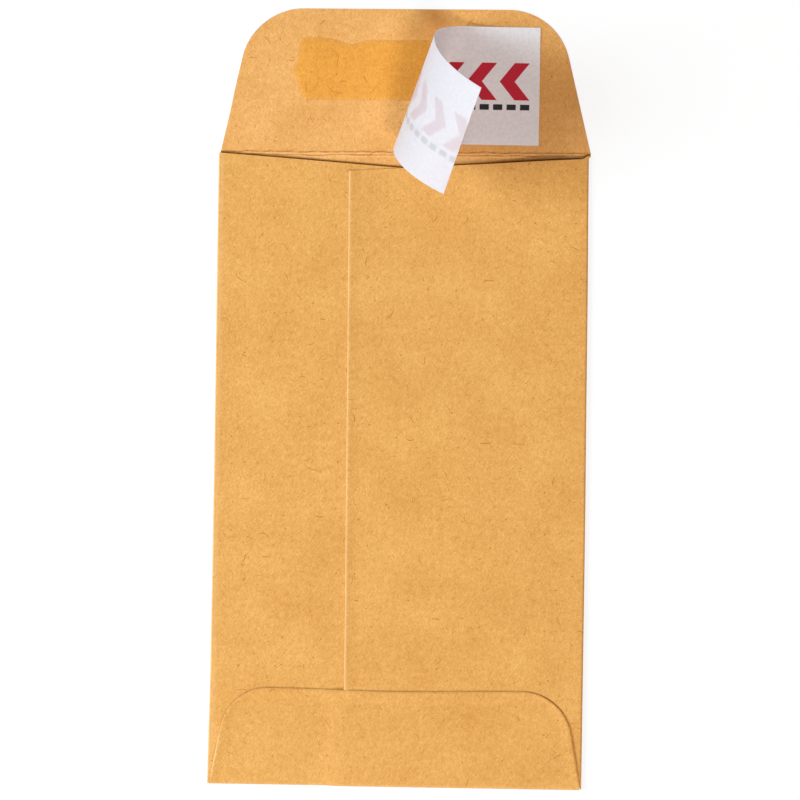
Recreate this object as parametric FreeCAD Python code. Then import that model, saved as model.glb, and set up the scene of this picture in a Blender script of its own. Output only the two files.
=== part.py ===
import FreeCAD, Part
import math
import os

# Open coin envelope, seam side up, with a half peeled release liner on its closing flap.
# Millimetres. It is drawn with the bottom fold on y = 0, then centred on its box.
# +X is to the right of the seam side, +Y points to the closing flap, +Z is up.

# The kraft sheet and its folded stack
body_width = 63.5
body_height = 107.95
sheet_thickness = 0.14
pocket_gap = 0.30
glue_film = 0.05

# The closing flap, which opens about a crease that is cut slightly out of square.
# Slopes are in degrees, and the shoulder is the step in from the folded edge to the flap's foot.
flap_height = 24.6
flap_side_slope = 13.0
flap_corner_radius = 10.6
flap_shoulder = 0.15
crease_skew = 0.6

# The two score lines of the crease
score_pitch = 0.5
score_width = 0.22
score_depth = 0.04

# The throat, where both back panels start this far below the crease and fall away to the middle
throat_shoulder = 0.45
throat_slope = 3.85

# The side seam: free edge of the right back panel, on top of the left one
seam_from_left = 22.95
seam_lean = 0.45
seam_overlap = 12.5
seam_glue_inset = 1.8
seam_glue_below_throat = 6.0

# The bottom flap, folded up over both back panels
bottom_flap_height = 16.6
bottom_flap_slope = 10.4
bottom_flap_corner_radius = 8.4
bottom_corner_relief = 0.3
back_panel_clearance = 0.2
bottom_step_width = 1.0
bottom_step_clearance = 0.2
bottom_glue_inset = 2.2

# The adhesive patch on the flap
patch_left = -18.0
patch_right = 18.2
patch_above_crease = 9.0
patch_height = 10.4
patch_end_bulge = 1.3
patch_thickness = 0.08

# The release liner, cut as a plain strip and peeled back from its left end
liner_length = 44.2
liner_height = 20.25
liner_right = 22.8
liner_above_crease = 1.65
liner_thickness = 0.07

# How the peeled part bends, along the middle line of the strip from where it lifts
lift_off_x = 8.66
curl_radius = 5.85
curl_length = 9.0
blend_length = 2.5
tail_radius = 16.4

# Lean of the straight lines across the bend, in degrees off the strip's width:
# at the lift-off line, then its change and its second change over each lean_span
lean_at_lift_off = 35.0
lean_change = -52.9
lean_second_change = 14.7
lean_span = 20.0

# Fineness of the bent strip, and of the search for its slanting cut end
bend_steps = 240
strip_columns = 45
strip_rows = 13
end_halvings = 40

# Heights in the stack
left_panel_z = sheet_thickness + pocket_gap
right_panel_z = left_panel_z + sheet_thickness + glue_film
flap_over_left_z = left_panel_z + sheet_thickness + glue_film
flap_over_right_z = right_panel_z + sheet_thickness + glue_film

# Outer radii of the three folds
left_fold_radius = (left_panel_z + sheet_thickness) / 2
right_fold_radius = (right_panel_z + sheet_thickness) / 2
bottom_fold_radius = (flap_over_right_z + sheet_thickness) / 2
bottom_fold_left_radius = (flap_over_left_z + sheet_thickness) / 2

# Where the flat panels begin
left_edge = -body_width / 2 + left_fold_radius
right_edge = body_width / 2 - right_fold_radius
panel_foot = bottom_fold_radius + back_panel_clearance
flap_foot_half = body_width / 2 - bottom_corner_relief


def vec(x, y, z=0.0):
    return FreeCAD.Vector(x, y, z)


def slope(degrees):
    return math.tan(math.radians(degrees))


def wire_with_round_corners(points, radii):
    """Closed wire through points; each corner with a radius becomes a tangent arc."""
    count = len(points)
    starts, ends, arcs = [], [], []
    for i in range(count):
        corner = points[i]
        back = (points[i - 1] - corner).normalize()
        ahead = (points[(i + 1) % count] - corner).normalize()
        radius = radii[i]
        if radius == 0:
            starts.append(corner)
            ends.append(corner)
            arcs.append(None)
            continue
        half = back.getAngle(ahead) / 2
        reach = radius / math.tan(half)
        first = corner + back * reach
        last = corner + ahead * reach
        inward = (back + ahead).normalize()
        middle = corner + inward * (radius / math.sin(half) - radius)
        starts.append(first)
        ends.append(last)
        arcs.append(Part.Arc(first, middle, last).toShape())
    edges = []
    for i in range(count):
        if arcs[i] is not None:
            edges.append(arcs[i])
        edges.append(Part.LineSegment(ends[i], starts[(i + 1) % count]).toShape())
    return Part.Wire(edges)


def plate(points, z, thickness, radii=None):
    """Flat sheet with the given outline, its underside at height z."""
    corners = [vec(p[0], p[1], z) for p in points]
    wire = wire_with_round_corners(corners, radii or [0] * len(corners))
    return Part.Face(wire).extrude(vec(0, 0, thickness))


def fold_section(origin, outward, radius):
    """Half ring of sheet in the plane of outward and Z, opening away from outward."""
    inner = radius - sheet_thickness
    up = vec(0, 0, 1)
    outer_arc = Part.Arc(origin, origin + up * radius + outward * radius, origin + up * 2 * radius)
    inner_low = origin + up * sheet_thickness
    inner_high = origin + up * (2 * radius - sheet_thickness)
    inner_arc = Part.Arc(inner_low, origin + up * radius + outward * inner, inner_high)
    foot = Part.LineSegment(origin, inner_low)
    head = Part.LineSegment(origin + up * 2 * radius, inner_high)
    edges = [outer_arc.toShape(), head.toShape(), inner_arc.toShape(), foot.toShape()]
    return Part.Wire(Part.__sortEdges__(edges))


def fold(start, run, outward, radius):
    """Half round fold of the sheet, from start along run."""
    return Part.Face(fold_section(start, outward, radius)).extrude(run)


def crease_y(x):
    return body_height + x * slope(crease_skew)


def left_throat_y(x):
    return body_height - throat_shoulder - (x + body_width / 2) * slope(throat_slope)


def right_throat_y(x):
    return body_height - throat_shoulder - (body_width / 2 - x) * slope(throat_slope)


def seam_x(y):
    """Free edge of the right back panel at height y."""
    return -body_width / 2 + seam_from_left - (y - bottom_flap_height) * slope(seam_lean)


def seam_top():
    """Corner of the right back panel where its free edge meets the throat."""
    y = right_throat_y(seam_x(body_height))
    return seam_x(y), right_throat_y(seam_x(y))


def flap_point(along, above):
    """Point of the closing flap, measured along and above its crease."""
    angle = math.radians(crease_skew)
    x = along * math.cos(angle) - above * math.sin(angle)
    y = body_height + along * math.sin(angle) + above * math.cos(angle)
    return x, y


def front_panel():
    outline = [(left_edge, bottom_fold_radius), (right_edge, bottom_fold_radius),
               (right_edge, crease_y(right_edge)), (left_edge, crease_y(left_edge))]
    return plate(outline, 0, sheet_thickness)


def closing_flap():
    base = body_width / 2 - flap_shoulder
    top = base - flap_height * slope(flap_side_slope)
    outline = [flap_point(-base, -throat_shoulder), flap_point(base, -throat_shoulder),
               flap_point(base, 0), flap_point(top, flap_height),
               flap_point(-top, flap_height), flap_point(-base, 0)]
    radii = [0, 0, 0, flap_corner_radius, flap_corner_radius, 0]
    return plate(outline, 0, sheet_thickness, radii)


def score_line(below):
    """Shallow groove across the inside of the sheet, parallel to the crease."""
    reach = body_width / 2 + flap_shoulder
    half = score_width / 2
    left = flap_point(-reach, -below)
    right = flap_point(reach, -below)
    section = Part.makePolygon([vec(left[0], left[1] - half, sheet_thickness),
                                vec(left[0], left[1], sheet_thickness - score_depth),
                                vec(left[0], left[1] + half, sheet_thickness),
                                vec(left[0], left[1] - half, sheet_thickness)])
    return Part.Face(section).extrude(vec(right[0] - left[0], right[1] - left[1]))


def left_back_panel():
    end = seam_x(bottom_flap_height) + seam_overlap
    outline = [(left_edge, panel_foot), (end, panel_foot),
               (end, left_throat_y(end)), (left_edge, left_throat_y(left_edge))]
    return plate(outline, left_panel_z, sheet_thickness)


def right_back_panel():
    outline = [(seam_x(panel_foot), panel_foot), (right_edge, panel_foot),
               (right_edge, right_throat_y(right_edge)), seam_top()]
    return plate(outline, right_panel_z, sheet_thickness)


def side_folds():
    left_run = vec(0, left_throat_y(left_edge) - panel_foot)
    right_run = vec(0, right_throat_y(right_edge) - panel_foot)
    left = fold(vec(left_edge, panel_foot), left_run, vec(-1, 0), left_fold_radius)
    right = fold(vec(right_edge, panel_foot), right_run, vec(1, 0), right_fold_radius)
    return [left, right]


def step_ends():
    """The bottom flap steps up over the seam's edge between these two x values."""
    high = seam_x(bottom_flap_height) - bottom_step_clearance
    return high - bottom_step_width, high


def bottom_folds():
    low, high = step_ends()
    down = vec(0, -1)
    left = fold(vec(-flap_foot_half, bottom_fold_radius), vec(low + flap_foot_half, 0), down,
                bottom_fold_left_radius)
    right = fold(vec(high, bottom_fold_radius), vec(flap_foot_half - high, 0), down,
                 bottom_fold_radius)
    step = Part.makeLoft([fold_section(vec(low, bottom_fold_radius), down, bottom_fold_left_radius),
                          fold_section(vec(high, bottom_fold_radius), down, bottom_fold_radius)],
                         True, True)
    return [left, step, right]


def bottom_flap_outline(inset, z, height):
    """Prism over the bottom flap's outline, moved inwards by inset."""
    run = bottom_flap_height - bottom_fold_radius
    top_half = flap_foot_half - run * slope(bottom_flap_slope)
    foot = bottom_fold_radius + inset
    outline = [(-flap_foot_half + inset, foot), (flap_foot_half - inset, foot),
               (top_half - inset, bottom_flap_height - inset),
               (-top_half + inset, bottom_flap_height - inset)]
    radius = bottom_flap_corner_radius - inset
    return plate(outline, z, height, [0, 0, radius, radius])


def across_prism(section):
    """Prism along Y of a section given as x and z values, over the bottom flap's height."""
    points = [vec(x, bottom_fold_radius, z) for x, z in section]
    face = Part.Face(Part.makePolygon(points + points[:1]))
    return face.extrude(vec(0, bottom_flap_height, 0))


def bottom_flap():
    low, high = step_ends()
    under = [(-flap_foot_half, flap_over_left_z), (low, flap_over_left_z),
             (high, flap_over_right_z), (flap_foot_half, flap_over_right_z)]
    over = [(x, z + sheet_thickness) for x, z in reversed(under)]
    stack_height = flap_over_right_z + 2 * sheet_thickness
    return across_prism(under + over).common(bottom_flap_outline(0, 0, stack_height))


def envelope_sheet():
    pieces = [closing_flap(), left_back_panel(), right_back_panel(), bottom_flap()]
    sheet = front_panel().multiFuse(pieces + side_folds() + bottom_folds())
    scores = score_line(0).fuse(score_line(score_pitch))
    return sheet.cut(scores).removeSplitter()


def side_seam_glue():
    low_y = panel_foot + seam_glue_inset
    high_y = right_throat_y(seam_x(body_height)) - seam_glue_below_throat
    end = seam_x(bottom_flap_height) + seam_overlap - seam_glue_inset
    outline = [(seam_x(low_y) + seam_glue_inset, low_y), (end, low_y),
               (end, high_y), (seam_x(high_y) + seam_glue_inset, high_y)]
    return plate(outline, left_panel_z + sheet_thickness, glue_film)


def bottom_flap_glue():
    low, high = step_ends()
    edge = seam_x(bottom_flap_height)
    left_top = left_panel_z + sheet_thickness
    right_top = right_panel_z + sheet_thickness
    section = [(-flap_foot_half, left_top), (edge, left_top), (edge, right_top),
               (flap_foot_half, right_top), (flap_foot_half, flap_over_right_z),
               (high, flap_over_right_z), (low, flap_over_left_z),
               (-flap_foot_half, flap_over_left_z)]
    stack_height = flap_over_right_z + sheet_thickness
    return across_prism(section).common(bottom_flap_outline(bottom_glue_inset, 0, stack_height))


def flap_adhesive():
    """Patch with slightly bulging ends, printed on the inside of the flap."""
    z = sheet_thickness
    low = patch_above_crease
    middle = low + patch_height / 2
    high = low + patch_height

    def at(along, above):
        x, y = flap_point(along, above)
        return vec(x, y, z)

    left_end = Part.Arc(at(patch_left, high), at(patch_left - patch_end_bulge, middle),
                        at(patch_left, low))
    right_end = Part.Arc(at(patch_right, low), at(patch_right + patch_end_bulge, middle),
                         at(patch_right, high))
    edges = [left_end.toShape(), Part.LineSegment(at(patch_left, low), at(patch_right, low)).toShape(),
             right_end.toShape(), Part.LineSegment(at(patch_right, high), at(patch_left, high)).toShape()]
    return Part.Face(Part.Wire(edges)).extrude(vec(0, 0, patch_thickness))


def lean_at(s):
    q = s / lean_span
    return math.radians(lean_at_lift_off + lean_change * q + lean_second_change * q * q)


def curvature_at(s):
    tight, slack = 1 / curl_radius, 1 / tail_radius
    share = min(1.0, max(0.0, (s - curl_length) / blend_length))
    return tight + (slack - tight) * share


def bent_frames():
    """Middle line of the peeled strip: its point and turn at even steps from the lift-off."""
    step = liner_length / bend_steps
    middle_y = body_height + liner_above_crease + liner_height / 2
    point = vec(lift_off_x, middle_y)
    turn = FreeCAD.Rotation()
    frames = [(0.0, point, turn)]
    for i in range(bend_steps):
        s = (i + 0.5) * step
        lean = lean_at(s)
        angle = curvature_at(s) * step * math.cos(lean)
        axis = vec(math.sin(lean), math.cos(lean))
        half_turn = FreeCAD.Rotation(axis, math.degrees(angle / 2))
        point = point + turn.multiply(half_turn).multVec(vec(-step, 0))
        turn = turn.multiply(FreeCAD.Rotation(axis, math.degrees(angle)))
        frames.append(((i + 1) * step, point, turn))
    return frames


def bent_point(frames, s, v, w):
    """Point of the strip at bend position s, v across from its middle, w above its underside."""
    place = s / (frames[1][0] - frames[0][0])
    i = min(int(place), len(frames) - 2)
    share = place - i
    ends = []
    for position, point, turn in frames[i:i + 2]:
        ends.append(point + turn.multVec(vec(v * math.tan(lean_at(position)), v, w)))
    return ends[0] + (ends[1] - ends[0]) * share


def bend_end(v):
    """Bend position at which the line across the strip reaches its cut end."""
    peeled = lift_off_x - (liner_right - liner_length)
    low, high = 0.0, liner_length
    for _ in range(end_halvings):
        s = (low + high) / 2
        if s - v * math.tan(lean_at(s)) < peeled:
            low = s
        else:
            high = s
    return low


def bent_surface(frames, w):
    rows = []
    for j in range(strip_rows):
        v = liner_height * (j / (strip_rows - 1) - 0.5)
        end = bend_end(v)
        row = [bent_point(frames, end * i / (strip_columns - 1), v, w) for i in range(strip_columns)]
        rows.append(row)
    surface = Part.BSplineSurface()
    surface.interpolate(rows)
    return surface


def border(surface):
    """The four border edges of a surface: first row, last row, first column, last column."""
    u0, u1, v0, v1 = surface.bounds()
    return [surface.uIso(u0).toShape(), surface.uIso(u1).toShape(),
            surface.vIso(v0).toShape(), surface.vIso(v1).toShape()]


def peeled_tail():
    frames = bent_frames()
    under = bent_surface(frames, 0.0)
    over = bent_surface(frames, liner_thickness)
    faces = [under.toShape(), over.toShape()]
    for low_edge, high_edge in zip(border(under), border(over)):
        faces.append(Part.makeRuledSurface(low_edge, high_edge))
    shell = Part.Compound(faces)
    shell.sewShape()
    solid = Part.Solid(shell.Shells[0])
    if solid.Volume < 0:
        solid.reverse()
    return solid


def attached_liner():
    """Flat part of the strip, from its right end to the slanting lift-off line."""
    low_y = body_height + liner_above_crease
    spread = liner_height / 2 * slope(lean_at_lift_off)
    outline = [(lift_off_x - spread, low_y), (liner_right, low_y),
               (liner_right, low_y + liner_height), (lift_off_x + spread, low_y + liner_height)]
    return plate(outline, 0, liner_thickness)


def release_liner():
    liner = attached_liner().fuse(peeled_tail()).removeSplitter()
    liner.translate(vec(0, 0, sheet_thickness + patch_thickness))
    return liner


def main():
    os.makedirs("parts", exist_ok=True)
    nodes = {
        "envelope_sheet": envelope_sheet(),
        "side_seam_glue": side_seam_glue(),
        "bottom_flap_glue": bottom_flap_glue(),
        "flap_adhesive": flap_adhesive(),
        "release_liner": release_liner(),
    }
    box = nodes["envelope_sheet"].optimalBoundingBox()
    centre = vec(-(box.XMin + box.XMax) / 2, -(box.YMin + box.YMax) / 2)
    for name, shape in nodes.items():
        shape.translate(centre)
        shape.exportStep("parts/" + name + ".step")
        print(name, shape.isValid(), len(shape.Solids), round(shape.Volume, 3), shape.BoundBox)


main()
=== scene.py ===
import math

import bmesh
import bpy
from bpy.props import FloatProperty, FloatVectorProperty, IntProperty, PointerProperty
from bpy.types import Operator, Panel, PropertyGroup
from mathutils import Matrix, Vector, noise


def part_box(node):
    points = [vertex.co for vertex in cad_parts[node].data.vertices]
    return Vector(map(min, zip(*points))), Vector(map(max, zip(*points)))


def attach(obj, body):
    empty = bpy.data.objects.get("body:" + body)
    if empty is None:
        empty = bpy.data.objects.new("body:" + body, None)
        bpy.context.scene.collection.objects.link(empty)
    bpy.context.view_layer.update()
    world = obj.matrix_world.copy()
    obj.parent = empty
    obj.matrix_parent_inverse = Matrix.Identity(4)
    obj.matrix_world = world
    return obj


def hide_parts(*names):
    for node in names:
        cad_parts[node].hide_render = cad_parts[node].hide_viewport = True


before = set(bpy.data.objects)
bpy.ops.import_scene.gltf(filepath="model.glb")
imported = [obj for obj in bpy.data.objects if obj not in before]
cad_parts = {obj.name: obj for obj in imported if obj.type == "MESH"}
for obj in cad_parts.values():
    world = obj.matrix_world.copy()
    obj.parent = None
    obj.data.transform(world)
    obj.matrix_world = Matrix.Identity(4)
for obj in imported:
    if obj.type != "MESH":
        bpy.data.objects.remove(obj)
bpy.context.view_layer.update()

bl_info = {
    "name": "Coin envelope",
    "version": (1, 0, 0),
    "blender": (4, 5, 0),
    "location": "3D View > Sidebar > Envelope",
    "description": "A small kraft coin envelope with an open flap and a half peeled release liner",
    "category": "Object",
}

# Metres. The envelope is drawn with its bottom fold on y = 0 and then moved to the frame.
MM = 0.001
SHEET_LOW, SHEET_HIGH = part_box("envelope_sheet")
LINER_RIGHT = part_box("release_liner")[1].x


# Sizes and colours that a user would change

def length(millimetres, description):
    return FloatProperty(default=millimetres * MM, description=description, unit="LENGTH", precision=5)


def spot(millimetres, description):
    """A place in space."""
    return FloatVectorProperty(default=[part * MM for part in millimetres], description=description,
                               size=3, unit="LENGTH", precision=5)


def turn(degrees, description):
    return FloatProperty(default=math.radians(degrees), description=description, unit="ROTATION")


def share(default, description):
    return FloatProperty(default=default, description=description, subtype="FACTOR", min=0, max=1)


def amount(default, description, unit="NONE"):
    return FloatProperty(default=default, description=description, min=0, unit=unit)


def whole_number(default, least, description):
    return IntProperty(default=default, min=least, description=description)


def colour(default, description):
    return FloatVectorProperty(default=default, description=description, subtype="COLOR", size=3,
                               min=0, max=1)


def labelled(group):
    """Labels each setting of a group after its own name."""
    for name, setting in group.__annotations__.items():
        setting.keywords["name"] = name.replace("_", " ").capitalize()
    return group


@labelled
class PaperSheetSettings(PropertyGroup):
    """The folded kraft sheet."""
    body_width: length((SHEET_HIGH.x - SHEET_LOW.x) / MM, "Width over both side folds")
    body_height: length(107.95, "From the bottom fold to the crease of the closing flap")
    thickness: length(0.14, "Thickness of the kraft")
    pocket_gap: length(0.30, "Slack between the front and the back panels")
    glue_film: length(0.05, "Thickness of the dried gum between two layers")
    crease_skew: turn(0.6, "How far the crease is out of square to the body")
    flap_height: length(24.72, "Closing flap above its crease")
    flap_slope: turn(13, "Slope of the closing flap's sides")
    flap_radius: length(10.6, "Round corners of the closing flap")
    flap_fullness: length(0.15, "How far the flap swells at its left round corner")
    flap_shoulder: length(0.12, "Step in from the side fold to the closing flap")
    flap_shift: length(0.13, "How far the closing flap sits to the right of the body")
    waist: length(0.18, "How far the left fold draws in below the middle of its height")
    right_waist: length(0.13, "How far the right fold draws in above the middle of its height")
    shoulder_draw: length(0.34, "How far the right fold draws in at the throat")
    shoulder_length: length(40, "Length of the right fold over which it draws in")
    score_pitch: length(0.5, "Distance between the two score lines of the crease")
    ridge_width: length(0.12, "Half width of each raised score line")
    ridge_height: length(0.15, "How far a score line stands up")
    crack_above: length(0.21, "Place of the crack above each score line")
    throat_shoulder: length(0.45, "Start of the throat below the crease at each side")
    corner_rise: length(0.5, "How far the throat climbs to the crease at the right fold")
    corner_bulge: length(0.36, "How far the right fold swells at the crease")
    throat_slope: turn(3.85, "Fall of both back panels towards the middle")
    throat_lift: length(0.50, "How far the right panel gapes at its throat")
    seam_from_left: length(22.95, "Free edge of the right panel at the bottom flap")
    seam_lean: turn(0.45, "Lean of that edge to the left towards the throat")
    seam_overlap: length(12.5, "How far the left panel runs on under the right one")
    bottom_height: length(16.45, "Bottom flap above the bottom fold")
    bottom_slope: turn(10.4, "Slope of the bottom flap's sides")
    bottom_radius: length(8.4, "Round corners of the bottom flap")
    bottom_hollow: length(0.30, "How far the flap's top edge is hollowed at its middle")
    bottom_relief: length(0.3, "Bottom flap inside the side folds")
    foot_clearance: length(0.2, "Back panels above the bottom fold")
    step_width: length(3.5, "Length of the bottom flap's step over the seam")
    step_clearance: length(0.2, "Step ends this far from the seam")
    edge_bevel: length(0.02, "How far a cut edge is thinned down on each side")
    edge_lift: length(0.16, "How far the free paper edges stand off the layer below")
    roll_depth: length(0.09, "How far a die-cut edge is turned down")
    roll_width: length(0.36, "Width over which a die-cut edge is turned down")
    billow: length(0.11, "Slack waves of the back panels over the pocket")
    billow_size: length(17, "Distance from one wave to the next")
    column: length(0.52, "Mesh columns across the front and the flap")
    panel_column: length(0.8, "Mesh columns across the back panels")
    row: length(1.3, "Mesh rows along the plain parts")
    fine_row: length(0.075, "Mesh rows through the crease")
    fold_steps: whole_number(9, 4, "Mesh rows round each fold")


@labelled
class KraftSettings(PropertyGroup):
    """The finish of the kraft."""
    paper: colour((0.840, 0.432, 0.118), "Golden kraft, on the outer side of the sheet")
    inner: colour((0.885, 0.455, 0.141), "Golden kraft, on the inner side of the sheet")
    fibre: colour((0.44, 0.090, 0.0), "Dark fibres and specks in the kraft")
    # Pale kraft for wear, used also as painted highlight on edges that face the left lamp.
    worn: colour((0.93, 0.62, 0.30), "Kraft on worn folds, score lines and cut edges")
    tint: colour((0.955, 0.810, 0.36), "What the clear adhesive does to the kraft under it")
    # Painted shade: how the film is darkened and warmed beside the liner's curl.
    curl_shade_tint: colour((0.955, 0.906, 0.744), "What the adhesive adds to that beside the liner")
    # Painted shade round the liner's curl on the closing flap: brown at its top, warm below.
    smudge: colour((0.58, 0.18, 0.036), "The brown smudge at the top of the closing flap")
    halo: colour((0.93, 0.264, 0.005), "The warm halo below that smudge")
    # Painted shade: the dark line at the throat, where the back panels' upper edges shade the front.
    throat: colour((0.22, 0.052, 0.0), "The dark line at the throat")
    gum: colour((0.80, 0.66, 0.40), "Dried gum in the seams")
    cloud: share(0.09, "Strength of the large soft mottling")
    grain: share(0.18, "Strength of the fine fibre grain")
    fibres: share(0.78, "Strength of the dark fibres")
    rubbing: share(0.85, "Strength of the wear on folds and score lines")
    cracking: share(0.9, "Strength of the cracks beside the score lines")
    # Strength of the painted shade above the liner's curl.
    staining: share(0.5, "Strength of the smudge")


@labelled
class LinerSettings(PropertyGroup):
    """The release liner: a plain strip that is peeled back from its left end."""
    length: length(44.2, "Length of the flat strip")
    height: length(20.25, "Height of the flat strip")
    thickness: length(0.07, "Thickness of the strip")
    right_end: length(LINER_RIGHT / MM, "Place of the strip's stuck end")
    above_crease: length(1.65, "Lower edge of the strip above the body's top")
    lift_off: length(8.66, "Where the middle of the strip leaves the adhesive")
    curl_radius: length(5.85, "Radius of the tight part of the bend")
    curl_length: length(9.0, "Length of the tight part of the bend")
    blend_length: length(2.5, "Length over which the bend eases")
    tail_radius: length(16.4, "Radius of the easy part of the bend")
    lean: turn(35.0, "Lean of the bend line at the lift-off")
    lean_change: turn(-52.9, "Change of that lean over each lean span")
    lean_second: turn(14.7, "Second change of that lean over each lean span")
    lean_span: length(20.0, "Length that the changes of the lean are given for")
    steps: whole_number(221, 20, "Straight lines that the strip bends on")
    columns: whole_number(150, 10, "Mesh columns along the strip")
    rows: whole_number(42, 4, "Mesh rows across the strip")
    paper: colour((0.815, 0.797, 0.830), "White release paper, on its coated side")
    # The printed face is set much lighter than the coated side: white paper, with painted light that lifts
    # the stuck part out of the curl's shadow.
    face: colour((0.980, 0.965, 1.0), "White release paper, on its printed side")
    glow: share(0.28, "Share of the light that goes on through the paper's faces")
    mark: colour((0.62, 0.022, 0.048), "Printed marks on the stuck face")
    rule: colour((0.022, 0.020, 0.026), "Printed dashes under the marks")


@labelled
class PatchSettings(PropertyGroup):
    """The adhesive patch on the closing flap."""
    right: length(18.2, "Right end of the patch, under the liner")
    above_crease: length(9.0, "Lower edge above the crease")
    height: length(10.4, "Height of the patch")
    waver: length(0.22, "How uneven the edges are")
    dip: length(0.75, "Depth of the dip in the upper edge")
    dip_place: length(-9.3, "Place of that dip along the flap")
    dip_width: length(2.0, "Half width of that dip")
    hump: length(0.55, "Height of the hump at the left of the upper edge")
    thickness: length(0.08, "Thickness of the dried film")
    border: length(0.7, "Width over which the film thins out")
    pitch: length(0.35, "Mesh pitch")


@labelled
class StageSettings(PropertyGroup):
    """Floor, lamps and camera."""
    floor: colour((0.82, 0.82, 0.82), "Pale floor")
    floor_size: length(3000, "Width of the floor")
    floor_seen: share(0.22, "How much light and shadow shows on the floor")
    floor_glow: share(0.81, "Even light that the floor shows on top of that")
    sky: amount(0.23, "Level of the even light from all around")
    key: amount(6.16, "Power of the lamp on the left", "POWER")
    fill: amount(8.8, "Power of the lamp below the picture", "POWER")
    key_place: spot((-640, -50, 470), "Place of the lamp on the left")
    fill_place: spot((240, -990, 1030), "Place of the lamp below the picture")
    key_tone: colour((0.80, 0.92, 1.0), "Cool daylight of the lamp on the left")
    fill_tone: colour((1.0, 0.88, 0.80), "Warm light of the lamp below the picture and of the sky")
    key_size: length(370, "Width of the lamp on the left")
    fill_size: length(340, "Width of the lamp below the picture")
    distance: length(600, "From the camera to the envelope")
    target_x: length(-0.143, "Point that the camera looks at")
    target_y: length(65.763, "Point that the camera looks at, from the bottom fold")
    roll: turn(-0.984, "Turn of the picture")
    pitch: turn(-1.766, "Tilt of the camera about the picture's width")
    yaw: turn(0.210, "Tilt of the camera about the picture's height")
    lens: amount(158.37, "Focal length", "CAMERA")


# Node trees

class Value:
    """A socket of a node tree in an expression: each operator adds its Math node."""

    def __init__(self, tree, socket):
        self.tree = tree
        self.socket = socket

    def __add__(self, other):
        return self.tree.math("ADD", self, other)

    def __radd__(self, other):
        return self.tree.math("ADD", other, self)

    def __sub__(self, other):
        return self.tree.math("SUBTRACT", self, other)

    def __rsub__(self, other):
        return self.tree.math("SUBTRACT", other, self)

    def __mul__(self, other):
        return self.tree.math("MULTIPLY", self, other)

    def __rmul__(self, other):
        return self.tree.math("MULTIPLY", other, self)

    def __truediv__(self, other):
        return self.tree.math("DIVIDE", self, other)

    def __rtruediv__(self, other):
        return self.tree.math("DIVIDE", other, self)

    def __neg__(self):
        return self.tree.math("MULTIPLY", self, -1.0)

    def __abs__(self):
        return self.tree.math("ABSOLUTE", self)


class Node:
    """One node, which gives its outputs as values."""

    def __init__(self, tree, node):
        self.tree = tree
        self.node = node

    def value(self, output=0):
        return Value(self.tree, self.node.outputs[output])


class Tree:
    """A node tree that is written as expressions."""

    def __init__(self, tree):
        self.tree = tree

    def node(self, kind, settings=None, *values, **named):
        """Adds a node: settings first, then sockets in order, then sockets by name."""
        node = self.tree.nodes.new(kind)
        for name, setting in (settings or {}).items():
            setattr(node, name, setting)
        for socket, value in zip(node.inputs, values):
            self.fill(socket, value)
        for name, value in named.items():
            self.fill(node.inputs[name.replace("_", " ")], value)
        return Node(self, node)

    def fill(self, socket, value):
        if value is None:
            return
        if isinstance(value, Value):
            self.tree.links.new(value.socket, socket)
        elif socket.type == "RGBA" and len(value) == 3:
            socket.default_value = (*value, 1.0)
        else:
            socket.default_value = value

    def math(self, operation, *values):
        return self.node("ShaderNodeMath", {"operation": operation}, *values).value()

    def vector(self, operation, *values):
        return self.node("ShaderNodeVectorMath", {"operation": operation}, *values).value()

    def span(self, vector):
        """Length of a vector."""
        return self.node("ShaderNodeVectorMath", {"operation": "LENGTH"}, vector).value(1)

    def turned(self, vector, angle):
        """A vector turned about the third axis."""
        return self.node("ShaderNodeVectorRotate", {"rotation_type": "Z_AXIS"}, Vector=vector,
                         Angle=angle).value()

    def scaled(self, vector, factor):
        return self.node("ShaderNodeVectorMath", {"operation": "SCALE"}, vector, Scale=factor).value()

    def mixed(self, factor, first, second, how="MIX"):
        """Colour mix, of a factor that may vary."""
        settings = {"data_type": "RGBA", "blend_type": how, "clamp_factor": True}
        node = self.node("ShaderNodeMix", settings, factor)
        self.fill(node.node.inputs[6], first)
        self.fill(node.node.inputs[7], second)
        return node.value(2)

    def split(self, vector):
        node = self.node("ShaderNodeSeparateXYZ", None, vector)
        return node.value(0), node.value(1), node.value(2)

    def joined(self, x, y, z=0.0):
        return self.node("ShaderNodeCombineXYZ", None, x, y, z).value()

    def smooth(self, value, low, high, first=0.0, last=1.0):
        """Smooth change from first to last as value goes from low to high."""
        settings = {"interpolation_type": "SMOOTHSTEP"}
        return self.node("ShaderNodeMapRange", settings, value, low, high, first, last).value()

    def clamped(self, value, low=0.0, high=1.0):
        return self.node("ShaderNodeClamp", None, value, low, high).value()

    def most(self, first, second):
        return self.math("MAXIMUM", first, second)

    def cosine(self, angle):
        return self.math("COSINE", angle)

    def sine(self, angle):
        return self.math("SINE", angle)

    def fraction(self, value):
        return self.math("FRACT", value)


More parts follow.
